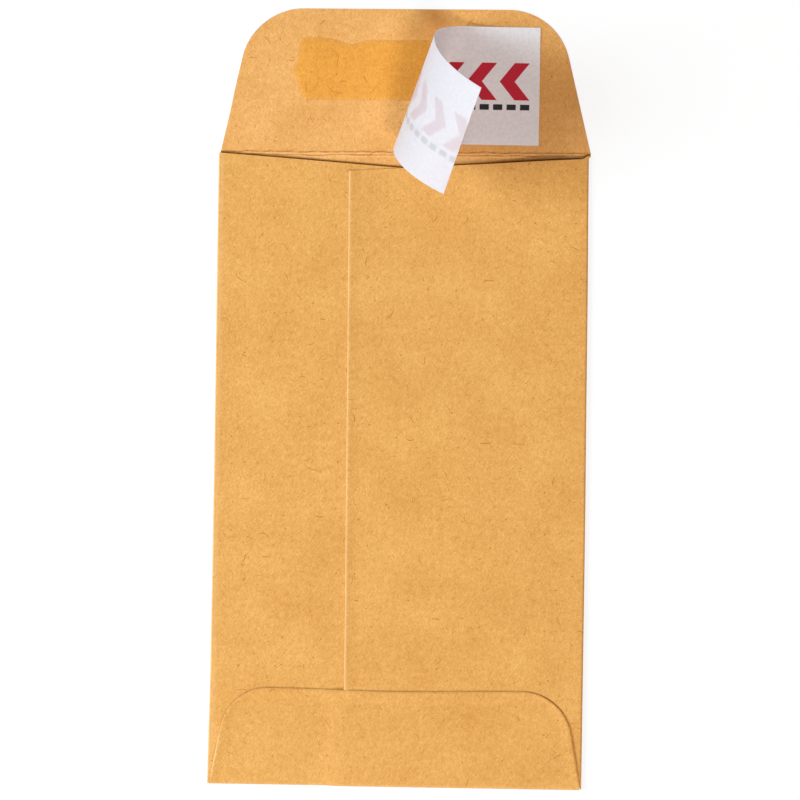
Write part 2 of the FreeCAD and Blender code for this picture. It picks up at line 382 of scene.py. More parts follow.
class Finish(Tree):
    """A procedural material with one Principled shader."""

    def __init__(self, name, roughness, specular=0.5):
        self.material = bpy.data.materials.new(name)
        self.material.use_nodes = True
        super().__init__(self.material.node_tree)
        self.tree.nodes.clear()
        self.shader = self.node("ShaderNodeBsdfPrincipled", None, Roughness=roughness,
                                Specular_IOR_Level=specular).node
        self.output = self.node("ShaderNodeOutputMaterial").node
        self.tree.links.new(self.shader.outputs[0], self.output.inputs["Surface"])

    def attribute(self, name, output=1):
        return self.node("ShaderNodeAttribute", {"attribute_name": name}).value(output)

    def noise(self, place, size, detail=2.0, roughness=0.5, stretch=None, angle=0.0):
        """Noise of about the given feature size, from 0 to 1, perhaps stretched along a direction."""
        if stretch:
            place = self.turned(place, math.radians(angle))
            place = self.vector("MULTIPLY", place, (1.0, 1.0 / stretch, 1.0))
        return self.node("ShaderNodeTexNoise", {"noise_dimensions": "2D"}, Vector=place, Scale=1.0 / size,
                         Detail=detail, Roughness=roughness).value()

    def tangle(self, place, size, stretch, first, second):
        """Mean of two stretched noises that cross like fibres, turned by two angles in degrees."""
        return (self.noise(place, size, 1.0, 0.5, stretch, first)
                + self.noise(place, size, 1.0, 0.5, stretch, second)) / 2.0

    def bump(self, height):
        """Height in metres."""
        normal = self.node("ShaderNodeBump", None, Strength=1.0, Distance=1.0, Height=height).value()
        self.fill(self.shader.inputs["Normal"], normal)

    def let_through(self, colour_value, glow):
        """Light that goes on through a thin sheet."""
        through = self.node("ShaderNodeBsdfTranslucent", None, colour_value)
        both = self.node("ShaderNodeMixShader", None, glow, Value(self, self.shader.outputs[0]),
                         through.value())
        self.tree.links.new(both.node.outputs[0], self.output.inputs["Surface"])

    def paint(self, colour_value, roughness=None):
        self.fill(self.shader.inputs["Base Color"], colour_value)
        self.fill(self.shader.inputs["Roughness"], roughness)

    def scatter(self, place, cell, seed):
        """Seeded cells: the place from each cell's own point, and three numbers from 0 to 1 for each."""
        moved = self.vector("ADD", place, (seed * 0.137, seed * 0.071, 0.0))
        cells = self.node("ShaderNodeTexVoronoi", {"voronoi_dimensions": "2D"}, Vector=moved,
                          Scale=1.0 / cell, Randomness=0.85)
        local = self.vector("SUBTRACT", moved, cells.value(2))
        drawn = self.node("ShaderNodeSeparateColor", None, cells.value(1))
        return local, drawn.value(0), drawn.value(1), drawn.value(2)

    def fibres(self, place, cell, fibre_length, width, keep, seed):
        """Mask of thin curved fibres, one in a share of the cells."""
        local, first, second, third = self.scatter(place, cell, seed)
        along, across, _ = self.split(self.turned(local, first * (2 * math.pi)))
        half = fibre_length / 2
        off_middle = third - 0.5
        bow = off_middle * abs(off_middle) * (2.6 / half)
        kink = self.sine(along * (4.0 / half) + second * 40.0) * (0.09 * half)
        side = abs(across - along * along * bow - kink)
        body = self.smooth(side, width * 0.2, width * 0.7, 1.0, 0.0)
        reach = half * (0.3 + 0.7 * self.fraction(third * 7.0))
        ends = self.smooth(abs(along) / reach, 0.5, 1.0, 1.0, 0.0)
        kept = self.smooth(second, keep - 0.01, keep, 1.0, 0.0)
        drawn = self.fraction(first * 9.0)
        return body * ends * kept * (0.22 + 0.78 * drawn * drawn)

    def specks(self, place, cell, radius, keep, seed):
        """Mask of small round specks."""
        local, first, second, third = self.scatter(place, cell, seed)
        size = radius * (0.45 + 0.55 * first)
        dot = self.smooth(self.span(local) / size, 0.5, 1.1, 1.0, 0.0)
        return dot * self.smooth(second, keep - 0.01, keep, 1.0, 0.0) * (0.4 + 0.6 * third)


# Fibres of the kraft: size of their cells, length and width in millimetres, share of the cells that
# hold one, strength and seed
DARK_FIBRES = ((5.4, 4.2, 0.12, 0.24, 1.0, 1),
               (3.4, 2.2, 0.12, 0.26, 1.0, 2),
               (1.7, 1.0, 0.13, 0.40, 0.7, 3))
PALE_FIBRES = ((2.4, 1.8, 0.14, 0.5, 0.22, 6),)


def fibre_mask(finish, place, kinds):
    """Mask of several kinds of fibres, the strongest of them at each place."""
    masks = [finish.fibres(place, cell * MM, fibre_length * MM, width * MM, keep, seed) * strength
             for cell, fibre_length, width, keep, strength, seed in kinds]
    strongest = masks[0]
    for mask in masks[1:]:
        strongest = finish.most(strongest, mask)
    return strongest


def kraft_pulp(finish, place, paper, kraft):
    """Colour, height in metres and tone of plain kraft at a place on the flat sheet."""
    cloud = finish.noise(place, 9 * MM, 2.0)
    floc = finish.noise(place, 1.3 * MM, 3.0, 0.65)
    grain = finish.noise(place, 0.34 * MM, 2.0, 0.75)
    tangle = finish.tangle(place, 0.24 * MM, 4.0, 20, 141)
    tone = (1.0 + (cloud - 0.5) * kraft.cloud * 2 + (floc - 0.5) * (kraft.grain * 1.2)
            + (grain - 0.5) * (kraft.grain * 1.7) + (tangle - 0.5) * (kraft.grain * 2.0))
    warmer = finish.joined(tone, tone * (0.5 + 0.5 * tone), tone * tone * (0.6 + 0.4 * tone))
    pale = finish.mixed(1.0, paper, warmer, "MULTIPLY")
    dark = fibre_mask(finish, place, DARK_FIBRES)
    fleck = finish.specks(place, 2.3 * MM, 0.20 * MM, 0.34, 5)
    lit = finish.mixed(fibre_mask(finish, place, PALE_FIBRES), pale, kraft.worn[:])
    inked = finish.mixed(dark * kraft.fibres * (0.6 + floc), lit, kraft.fibre[:])
    flecked = finish.mixed(fleck * 0.6, inked, kraft.fibre[:])
    height = (tangle * 11 + grain * 8) * (MM * MM)
    return flecked, height, tone


# The throat climbs to the crease between these distances from the right fold
CLIMB_START, CLIMB_END = 0.4 * MM, 1.5 * MM


def painted_throat_shade(finish, place, sheet):
    """Mask of painted shade: the dark line under the upper edges of the back panels, widest where they gape.
    """
    x, y, _ = finish.split(place)
    half_width = sheet.body_width / 2
    climb = finish.smooth(half_width - x, CLIMB_START, CLIMB_END, sheet.corner_rise, 0.0)
    throat = (sheet.body_height - sheet.throat_shoulder + climb
              - (half_width - abs(x)) * math.tan(sheet.throat_slope))
    gape = finish.smooth(abs(x - 22 * MM), 3 * MM, 10 * MM, 1.0, 0.0)
    narrow, wider = 0.52 * MM, 0.22 * MM
    past = (y - throat) / (narrow + wider * gape)
    return finish.smooth(past, 0.18, 1.0, 1.0, 0.0) * finish.smooth(past, -3.0, -2.0)


# Painted shade round the liner's curl, a brown patch and a warm wash below it: places on the blank, and how
# far they reach
CURL_SHADE_PLACE = (4.75 * MM, 131.4 * MM, 0.0)
CURL_SHADE_TURN = math.radians(33)
CURL_SHADE_SLIMNESS = 1.7
CURL_SHADE_REACH = 4.5 * MM
LOWER_SHADE_PLACE = (5.0 * MM, 126.0 * MM, 0.0)
LOWER_SHADE_REACH = 10 * MM


def smudge(finish, place):
    """Masks of the painted shade round the liner's curl: brown at the top of the closing flap, warm below
    it.
    """
    turned = finish.turned(finish.vector("SUBTRACT", place, CURL_SHADE_PLACE), CURL_SHADE_TURN)
    off = finish.span(finish.vector("MULTIPLY", turned, (1.0, CURL_SHADE_SLIMNESS, 0.0)))
    below = finish.span(finish.vector("SUBTRACT", place, LOWER_SHADE_PLACE))
    uneven = 0.7 + 0.6 * finish.noise(place, 1.1 * MM, 2.0)
    core = finish.smooth(off, 0.2 * MM, CURL_SHADE_REACH, 1.0, 0.0)
    halo = finish.smooth(below, 2.0 * MM, LOWER_SHADE_REACH, 0.25, 0.0)
    return core * uneven, halo * uneven


def kraft_finish(kraft, sheet):
    """Kraft with worn folds and cracked score lines; painted highlight on left-facing edges, painted shade
    at throat and curl.
    """
    finish = Finish("kraft_paper", 0.72, 0.12)
    place = finish.attribute("blank_place")
    wear = finish.attribute("wear", 2)
    inside = finish.attribute("inner_side", 2)
    side = finish.mixed(inside, kraft.paper[:], kraft.inner[:])
    paper, height, tone = kraft_pulp(finish, place, side, kraft)
    # Paler kraft on folds, score lines and cut edges: real wear, with painted highlight where edges face the
    # left lamp.
    rubbed = finish.noise(place, 0.35 * MM, 2.0, 0.7)
    worn = finish.clamped(wear * (0.45 + 0.9 * rubbed))
    lightened = finish.mixed(worn * kraft.rubbing, paper, kraft.worn[:])
    crack = finish.clamped(-wear * (0.6 + 0.9 * rubbed))
    cracked = finish.mixed(crack * kraft.cracking, lightened, kraft.fibre[:])
    # Painted shade along the throat, on the inner side only.
    shade = painted_throat_shade(finish, place, sheet) * inside * (0.8 + 0.3 * rubbed)
    lined = finish.mixed(shade, cracked, kraft.throat[:])
    # Painted shade round the liner's curl, on the inner side only.
    blot, halo = smudge(finish, place)
    lower_shaded = finish.mixed(halo * inside, lined, kraft.halo[:])
    curl_shaded = finish.mixed(blot * inside * kraft.staining, lower_shaded, kraft.smudge[:])
    finish.paint(curl_shaded, 0.70 + 0.10 * tone)
    finish.bump(height)
    return finish.material


def cut_edge_finish(kraft):
    """The pale fibrous core that shows on cut edges."""
    finish = Finish("kraft_cut_edge", 0.85, 0.2)
    place = finish.attribute("blank_place")
    fuzz = finish.noise(place, 0.12 * MM, 3.0, 0.7)
    finish.paint(finish.scaled(kraft.worn[:], 0.86 + 0.26 * fuzz))
    finish.bump(fuzz * (22 * MM * MM))
    return finish.material


def adhesive_finish(kraft):
    """Clear adhesive film: kraft seen through it, deeper and glossier, with faint drag streaks, and painted
    shade beside the liner's curl.
    """
    finish = Finish("adhesive_film", 0.4, 0.42)
    place = finish.attribute("blank_place")
    full = finish.attribute("film", 2)
    paper, height, _ = kraft_pulp(finish, place, kraft.inner[:], kraft)
    streak = finish.noise(place, 0.5 * MM, 2.0, 0.6, 9.0, 90)
    blot = finish.noise(place, 2.6 * MM, 3.0, 0.6)
    soaked = finish.mixed(finish.clamped((0.7 + 0.3 * full) * (0.80 + 0.4 * blot)), paper,
                          finish.mixed(1.0, paper, kraft.tint[:], "MULTIPLY"))
    gathered = finish.smooth(abs(full - 0.25), 0.0, 0.25, 0.07, 0.0)
    along, _, _ = finish.split(place)
    # Painted shade of the liner's curl, over the film's right end.
    curl_shade_mask = finish.smooth(along, -6 * MM, 1 * MM)
    curl_shaded_film = finish.mixed(curl_shade_mask, soaked, finish.mixed(1.0, soaked, kraft.curl_shade_tint[:], "MULTIPLY"))
    toned = finish.scaled(curl_shaded_film, 0.965 + 0.07 * streak - gathered)
    finish.paint(toned, 0.60 - 0.20 * full + 0.12 * blot)
    finish.bump(height * 0.35 + (streak * 9 + blot * 26) * (MM * MM))
    return finish.material


def gum_finish(kraft):
    """Dried gum, with small bubbles and soft blotches."""
    finish = Finish("dried_gum", 0.5, 0.4)
    place = finish.node("ShaderNodeTexCoord").value(3)
    blot = finish.noise(place, 1.8 * MM, 3.0, 0.6)
    bubbles = finish.specks(place, 1.1 * MM, 0.3 * MM, 0.5, 7)
    finish.paint(finish.scaled(kraft.gum[:], 0.86 + 0.24 * blot + 0.08 * bubbles), 0.42 + 0.2 * blot)
    finish.bump((blot * 20 + bubbles * 8) * (MM * MM))
    return finish.material


def printed_marks(finish, place, liner):
    """Masks of the red arrow row and of the dark dashes under it, on the flat strip."""
    along, across, _ = finish.split(place)
    margin, blur = 1.6 * MM, 0.03 * MM
    from_end = liner.length - margin - along
    inside = finish.smooth(from_end, 0.0, 0.04 * MM)
    middle, half = 10.9 * MM, 3.2 * MM
    off_middle = abs(across - middle)
    band = finish.smooth(off_middle, half - blur, half + blur, 1.0, 0.0)
    pitch, stroke, point = 5.6 * MM, 0.46, 0.8
    phase = finish.fraction((from_end + (off_middle - half) * point) / pitch)
    arrows = finish.smooth(abs(phase - stroke / 2 - 0.02), stroke / 2 - 0.006, stroke / 2 + 0.006, 1.0, 0.0)
    dash_pitch, dash_middle, dash_half = 2.3 * MM, 6.5 * MM, 0.45 * MM
    dash_phase = finish.fraction(from_end / dash_pitch)
    dashes = finish.smooth(abs(dash_phase - 0.40), 0.33, 0.36, 1.0, 0.0)
    dash_band = finish.smooth(abs(across - dash_middle), dash_half, dash_half + 0.07 * MM, 1.0, 0.0)
    return arrows * band * inside, dashes * dash_band * inside


def liner_finish(liner, name, plain, mark_strength, rule_strength, roughness, mottle):
    """Release paper with its print at the given strength: full on its face, faint through its back."""
    finish = Finish(name, roughness, 0.2)
    place = finish.attribute("strip_place")
    arrows, dashes = printed_marks(finish, place, liner)
    pulp = finish.noise(place, 0.7 * MM, 4.0, 0.65)
    cloud = finish.noise(place, 6 * MM, 2.0)
    tangle = finish.tangle(place, 0.2 * MM, 5.0, 35, 118)
    uneven = 0.30 * (pulp - 0.5) + 0.06 * (cloud - 0.5) + 0.14 * (tangle - 0.5)
    tone = 1.0 + uneven * mottle
    paper = finish.scaled(plain, tone)
    speckled = 0.93 + 0.20 * finish.noise(place, 0.16 * MM, 1.0)
    marked = finish.mixed(finish.clamped(arrows * speckled) * mark_strength, paper, liner.mark[:])
    ruled = finish.mixed(finish.clamped(dashes * speckled) * rule_strength, marked, liner.rule[:])
    finish.paint(ruled, roughness + 0.10 * (pulp - 0.5))
    finish.bump((tangle * 6 + pulp * 5 + cloud * 30) * (MM * MM))
    lifted = liner.length + liner.lift_off - liner.right_end
    along, _, _ = finish.split(place)
    finish.let_through(ruled, finish.smooth(along, lifted, lifted + 4 * MM, liner.glow, 0.02))
    return finish.material


# The folded sheet

class Knot:
    """A point of the sheet's middle surface, its place on the flat blank and its wear."""

    def __init__(self, x, y, z, blank_x, blank_y, wear=0.0):
        self.place = Vector((x, y, z))
        self.blank = Vector((blank_x, blank_y, 0.0))
        self.wear = wear


def ease(low, high, value):
    """Smooth step of value between low and high."""
    part = min(1.0, max(0.0, (value - low) / (high - low)))
    return part * part * (3 - 2 * part)


def bell(place, width, value):
    """Bell curve around a place, 1 at its top."""
    return math.exp(-((value - place) / width) ** 2)


def spread(steps):
    """Shares from 0 to 1 in even steps."""
    return [i / steps for i in range(steps + 1)]


# Last rows of a flap, below its top edge
TOP_ROWS = (0.36 * MM, 0.22 * MM, 0.10 * MM, 0.03 * MM, 0.0)
ARC_ROWS = 14


def flap_outline(base, height, slope, radius, pitch):
    """Heights and half widths of a flap with sloping sides and round corners, finer at its top edge."""
    centre_y = height - radius
    centre_x = base - (radius + centre_y * math.sin(slope)) / math.cos(slope)
    straight_end = centre_y + radius * math.sin(slope)
    rows = [(straight_end * part, base - straight_end * part * math.tan(slope))
            for part in spread(max(1, round(straight_end / pitch)))]
    angles = [slope + (math.pi / 2 - slope) * part for part in spread(ARC_ROWS)[1:]]
    angles = [angle for angle in angles if radius * (1 - math.sin(angle)) > 1.3 * TOP_ROWS[0]]
    angles += [math.asin(1 - place / radius) for place in TOP_ROWS]
    rows += [(centre_y + radius * math.sin(angle), centre_x + radius * math.cos(angle)) for angle in angles]
    return rows


# Wander of the score lines: length of a wave, seed and size
WANDER = ((3.1 * MM, 3.0, 0.20 * MM), (1.1 * MM, 5.0, 0.14 * MM))
WANDER_OFFSET = 0.05 * MM

# Gapes of the back panels at the throat: place, half width and share of the throat's lift.
# The first fades towards the right fold from a place beside it.
GAPES = ((24.2 * MM, 4.6 * MM, 1.0), (8 * MM, 9 * MM, 0.15), (-18 * MM, 8 * MM, 0.30))
GAPE_FADE = 29.5 * MM


class FoldedSheet:
    """The envelope's paper as patches of its middle surface, which meet at shared knots."""

    def __init__(self, sheet):
        self.sheet = sheet
        half = sheet.thickness / 2
        self.half = half
        self.left_z = sheet.thickness + sheet.pocket_gap + half
        self.right_z = self.left_z + sheet.thickness + sheet.glue_film
        self.over_left_z = self.left_z + sheet.thickness + sheet.glue_film
        self.over_right_z = self.right_z + sheet.thickness + sheet.glue_film
        self.left_edge = -sheet.body_width / 2 + (self.left_z + half) / 2
        self.right_edge = sheet.body_width / 2 - (self.right_z + half) / 2
        self.bottom = (self.over_right_z + half) / 2
        self.foot = self.bottom + sheet.foot_clearance
        self.step_high = self.seam_x(sheet.bottom_height) - sheet.step_clearance
        self.step_low = self.step_high - sheet.step_width
        self.quads = []
        self.knots = []

    def crease_y(self, x):
        return self.sheet.body_height + x * math.tan(self.sheet.crease_skew)

    def throat_y(self, x, side):
        from_side = self.sheet.body_width / 2 - side * x
        fall = self.sheet.throat_shoulder + from_side * math.tan(self.sheet.throat_slope)
        if side > 0:
            fall -= self.sheet.corner_rise * (1 - ease(CLIMB_START, CLIMB_END, from_side))
        return self.sheet.body_height - fall

    def seam_x(self, y):
        above = y - self.sheet.bottom_height
        return (-self.sheet.body_width / 2 + self.sheet.seam_from_left
                - above * math.tan(self.sheet.seam_lean))

    def drawn_in(self, side, y):
        """How far a side fold lies inside the straight edge of the body."""
        sheet = self.sheet
        if side < 0:
            return sheet.waist * ease(0.0, 22 * MM, y) * (1 - ease(45 * MM, sheet.body_height, y))
        shoulder_foot = sheet.body_height - sheet.shoulder_length
        shoulder = sheet.shoulder_draw * ease(shoulder_foot, sheet.body_height, y)
        return shoulder + sheet.right_waist * bell(70 * MM, 17 * MM, y)

    def flap_point(self, along, above):
        turned = Matrix.Rotation(self.sheet.crease_skew, 2) @ Vector((along, above))
        return Vector((self.sheet.flap_shift, self.sheet.body_height)) + turned

    def add_patch(self, rows):
        """Rows of knots of equal length, joined by quads."""
        first = len(self.knots)
        width = len(rows[0])
        for row in rows:
            self.knots.extend(row)
        for j in range(len(rows) - 1):
            for i in range(width - 1):
                corner = first + j * width + i
                self.quads.append((corner, corner + 1, corner + width + 1, corner + width))

    def score(self, x, below):
        """Raised score lines of the crease: height share from 0 to 1, and wear from -1 to 1."""
        sheet = self.sheet
        ends = min(x - self.left_edge, self.right_edge - x)
        fade = ease(0.0, 1.2 * MM, ends)
        height, wear = 0.0, 0.0
        for line in (0.0, sheet.score_pitch):
            place = line + WANDER_OFFSET
            for wave, seed, size in WANDER:
                place += noise.noise(Vector((x / wave, line * 9000, seed))) * size
            strength = 0.72 + 0.7 * noise.noise(Vector((x / (1.2 * MM), line * 7000, 8.0)))
            strength = max(0.2, strength)
            ridge = bell(place, sheet.ridge_width, below)
            crack = bell(place - sheet.crack_above, sheet.ridge_width, below)
            height = max(height, strength * ridge)
            wear += strength * (0.7 * ridge - 0.95 * crack)
        return height * fade, wear * (0.25 + 0.75 * fade)

    def depths(self):
        """Distances below the crease of the fine rows, with one exactly at each end of the throat."""
        sheet = self.sheet
        fine = [i * sheet.fine_row for i in range(15)]
        marks = []
        for side, edge in ((-1, self.left_edge), (1, self.right_edge)):
            exact = self.crease_y(edge) - self.throat_y(edge, side)
            nearest = min(range(len(fine)), key=lambda i: abs(fine[i] - exact))
            fine[nearest] = exact
            marks.append(nearest)
        return fine, marks

    def growing(self, first, total):
        """Places from 0 to total, in steps that grow from first to the row pitch."""
        places, step = [0.0], first
        while places[-1] < total:
            step = min(step * 1.3, self.sheet.row)
            places.append(places[-1] + step)
        return [place * total / places[-1] for place in places]

    def front_rows(self):
        """Ends of the front panel's rows from the bottom fold up to the crease, and three row numbers:
        the foot of the side folds, and the throat at the left and at the right fold."""
        sheet = self.sheet
        fine, (left_mark, right_mark) = self.depths()
        left_crease = self.crease_y(self.left_edge)
        right_crease = self.crease_y(self.right_edge)
        total = sheet.body_height - fine[-1] - self.foot
        sides = ((-1, self.left_edge, left_crease, fine[left_mark]),
                 (1, self.right_edge, right_crease, fine[right_mark]))
        rows = []
        for depth in fine:
            ends = []
            for side, edge, crease, throat_depth in sides:
                inner = edge - side * self.drawn_in(side, crease - depth)
                if side > 0:
                    inner += sheet.corner_bulge * (1 - ease(throat_depth, throat_depth + 0.5 * MM, depth))
                shoulder = side * (sheet.body_width / 2 - sheet.flap_shoulder) + sheet.flap_shift
                out = 1 - ease(0.55 * throat_depth, throat_depth, depth)
                ends.append(Vector((inner + (shoulder - inner) * out, crease - depth)))
            rows.append(ends)
        for place in self.growing(sheet.fine_row, total)[1:]:
            part = place / total
            ends = []
            for side, edge, crease, _ in sides:
                y = (crease - fine[-1]) * (1 - part) + self.foot * part
                ends.append(Vector((edge - side * self.drawn_in(side, y), y)))
            rows.append(ends)
        rows.append([Vector((self.left_edge, self.bottom)), Vector((self.right_edge, self.bottom))])
        rows.reverse()
        top = len(rows) - 1
        return rows, 1, top - left_mark, top - right_mark

    def across(self):
        """Shares of the way across the front, finer beside the folds."""
        width = self.right_edge - self.left_edge
        count = round(width / self.sheet.column)
        near = [place / width for place in (0.03 * MM, 0.12 * MM, 0.24 * MM, 0.38 * MM)]
        return [0.0] + near + spread(count)[1:-1] + [1 - place for place in reversed(near)] + [1.0]

    def front_knot(self, left, right, part):
        point = left.lerp(right, part)
        below = self.crease_y(point.x) - point.y
        height, wear = self.score(point.x, below)
        z = self.half + height * self.sheet.ridge_height
        return Knot(point.x, point.y, z, point.x, point.y, wear)

    def front_and_flap(self):
        """The front panel and the open closing flap, as one patch."""
        sheet = self.sheet
        rows = list(self.front_rows()[0])
        base = sheet.body_width / 2 - sheet.flap_shoulder
        outline = flap_outline(base, sheet.flap_height, sheet.flap_slope, sheet.flap_radius,
                               sheet.row)
        first_straight = outline[1][0]
        above_crease = self.growing(sheet.fine_row, first_straight)[1:-1]
        slope = math.tan(sheet.flap_slope)
        outline = [(above, base - above * slope) for above in above_crease] + outline[1:]
        for above, half_width in outline:
            fuller = sheet.flap_fullness * ease(5 * MM, 13 * MM, above) * (1 - ease(18 * MM, 23 * MM, above))
            rows.append([self.flap_point(-half_width - fuller, above), self.flap_point(half_width, above)])
        shares = self.across()
        self.add_patch([[self.front_knot(left, right, part) for part in shares] for left, right in rows])

    def slack(self, x, y):
        """Height that a back panel is raised by its slack over the pocket and at the throat."""
        sheet = self.sheet
        over_left = ease(self.left_edge + 1 * MM, self.left_edge + 8 * MM, x)
        over_left *= 1 - ease(self.seam_x(y) - 7 * MM, self.seam_x(y) - 1 * MM, x)
        inner = self.seam_x(sheet.bottom_height) + sheet.seam_overlap
        over_right = ease(inner, inner + 8 * MM, x)
        over_right *= 1 - ease(self.right_edge - 8 * MM, self.right_edge - 1 * MM, x)
        upward = ease(sheet.bottom_height + 1 * MM, sheet.bottom_height + 12 * MM, y)
        wave = noise.noise(Vector((x, y * 0.6, 0.0)) / sheet.billow_size + Vector((4.2, 1.7, 0.5)))
        billow = sheet.billow * (0.5 + wave) * max(over_left, over_right) * upward
        gapes = [part * bell(place, width, x) for place, width, part in GAPES]
        gapes[0] *= 1 - ease(GAPE_FADE, self.right_edge, x)
        below = self.throat_y(x, 1 if x > self.seam_x(y) else -1) - y
        return billow + sum(gapes) * sheet.throat_lift * math.exp(-max(0.0, below) / (5 * MM))

    def edge_rise(self, inward):
        """Height of a free edge: it stands off the layer below, and its rim is turned down by the die."""
        sheet = self.sheet
        turned = 1 - min(1.0, inward / sheet.roll_width)
        return sheet.edge_lift * (1 - ease(0.0, 2.0 * MM, inward)) - sheet.roll_depth * turned * turned

    def side_patch(self, side, top_row, z_end):
        """A side fold and its back panel: side is -1 for the left one and 1 for the right one."""
        sheet = self.sheet
        rows, foot_row = self.front_rows()[:2]
        edge = self.left_edge if side < 0 else self.right_edge
        middle_z = (self.half + z_end) / 2
        radius = middle_z - self.half
        fixed_end = self.seam_x(sheet.bottom_height) + sheet.seam_overlap
        longest = abs(edge - (fixed_end if side < 0 else self.seam_x(sheet.body_height)))
        rim = [1 - place / longest for place in (0.66 * MM, 0.36 * MM, 0.22 * MM, 0.10 * MM, 0.03 * MM)]
        shares = ([0.22 * MM / longest, 0.5 * MM / longest]
                  + spread(round(longest / sheet.panel_column))[1:-1] + rim + [1.0])
        edge_fall = self.throat_y(edge, side) - self.foot
        corner_pull = self.foot - 0.12 * MM
        patch = []
        for row in rows[foot_row:top_row + 1]:
            start = row[0] if side < 0 else row[1]
            pull = corner_pull if row is rows[foot_row] else 0.0
            knots = [self.front_knot(row[0], row[1], 0.0 if side < 0 else 1.0)]
            # Fold wear with painted highlight: the left fold, which faces the left lamp, is made much paler
            # than the right.
            for part in spread(sheet.fold_steps)[1:]:
                angle = math.pi * part
                knots.append(Knot(start.x + side * radius * math.sin(angle),
                                  start.y - pull * math.sin(angle) ** 0.5,
                                  middle_z - radius * math.cos(angle),
                                  edge + side * radius * angle, start.y,
                                  (0.6 if side < 0 else 0.1) * math.sin(angle)))
            end = fixed_end if side < 0 else self.seam_x(start.y)
            for part in shares:
                x = start.x + (end - start.x) * part
                y = self.foot + (start.y - self.foot) * (self.throat_y(x, side) - self.foot) / edge_fall
                rise = self.edge_rise(x - end) if side > 0 else 0.0
                # Pale wear beside the left fold and on the seam's free edge, which face the left lamp: real
                # wear and painted highlight.
                wear = 0.0
                if side < 0:
                    wear = 0.45 * (1 - ease(0.1 * MM, 0.9 * MM, x - start.x))
                else:
                    wear = 0.8 * (1 - ease(0.05 * MM, 0.45 * MM, x - end))
                z = z_end + self.slack(x, y) + rise
                blank = edge + side * (radius * math.pi + abs(x - edge))
                knots.append(Knot(x, y, z, blank, y, wear))
            patch.append(knots if side > 0 else knots[::-1])
        self.add_patch(patch)

    def bottom_patch(self):
        """The bottom fold and the bottom flap, which steps up over the seam's edge."""
        sheet = self.sheet
        first_row = self.front_rows()[0][0]
        base = sheet.body_width / 2 - sheet.bottom_relief
        outline = flap_outline(base, sheet.bottom_height - self.bottom, sheet.bottom_slope,
                               sheet.bottom_radius, sheet.row)[1:]
        shares = self.across()
        patch = []
        for part in spread(sheet.fold_steps):
            angle = math.pi * part
            row = []
            for place in shares:
                x = first_row[0].lerp(first_row[1], place).x
                radius = self.fold_radius(x)
                x += math.copysign(ease(0.49, 0.5, abs(place - 0.5)) * 0.10 * MM * math.sin(angle), x)
                row.append(Knot(x, self.bottom - radius * math.sin(angle),
                                self.half + radius * (1 - math.cos(angle)),
                                x, self.bottom - radius * angle, 0.4 * math.sin(angle)))
            patch.append(row)
        for above, half_width in outline:
            row = []
            left = max(-half_width, self.left_edge)
            right = min(half_width, self.right_edge)
            for place in shares:
                x = left + (right - left) * place
                radius = self.fold_radius(x)
                inward = min(x - left, right - x, outline[-1][0] - above)
                rise = self.edge_rise(inward) * ease(0, 3 * MM, above)
                hollow = sheet.bottom_hollow * (above / outline[-1][0]) ** 3 * (1 - ease(0, 20 * MM, abs(x)))
                # Pale wear on the left slanted edge only: real wear and painted highlight on the edge that
                # faces the left lamp.
                wear = (1 - ease(0.10 * MM, 0.36 * MM, x - left)) * (1 - 0.9 * ease(5 * MM, 11 * MM, above))
                if left == self.left_edge:
                    wear = 0.0
                row.append(Knot(x, self.bottom + above - hollow, self.half + 2 * radius + rise,
                                x, self.bottom - radius * math.pi - above, wear))
            patch.append(row)
        self.add_patch(patch[::-1])

    def fold_radius(self, x):
        """Middle radius of the bottom fold, which grows where the flap steps up."""
        up = ease(self.step_low, self.step_high, x)
        return ((self.over_left_z + (self.over_right_z - self.over_left_z) * up) - self.half) / 2

    def middle_mesh(self):
        """All patches as one mesh of the middle surface, shared knots merged."""
        self.front_and_flap()
        _, _, left_top, right_top = self.front_rows()
        self.side_patch(-1, left_top, self.left_z)
        self.side_patch(1, right_top, self.right_z)
        self.bottom_patch()
        shape = bmesh.new()
        blank = shape.verts.layers.float_vector.new("blank_place")
        wear = shape.verts.layers.float.new("wear")
        verts = []
        for knot in self.knots:
            vert = shape.verts.new(knot.place)
            vert[blank] = knot.blank
            vert[wear] = knot.wear
            verts.append(vert)
        for quad in self.quads:
            shape.faces.new([verts[i] for i in quad])
        bmesh.ops.remove_doubles(shape, verts=shape.verts, dist=0.002 * MM)
        shape.normal_update()
        return shape


def inward_of(vert):
    """Direction in the paper from a border vertex towards its faces."""
    inward = Vector()
    for edge in vert.link_edges:
        if edge.is_boundary:
            face = edge.link_faces[0]
            middle = (edge.verts[0].co + edge.verts[1].co) / 2
            across = (edge.verts[1].co - edge.verts[0].co).cross(face.normal).normalized()
            if across.dot(face.calc_center_median() - middle) < 0:
                across.negate()
            inward += across
    return inward.normalized() if inward.length > 0 else inward


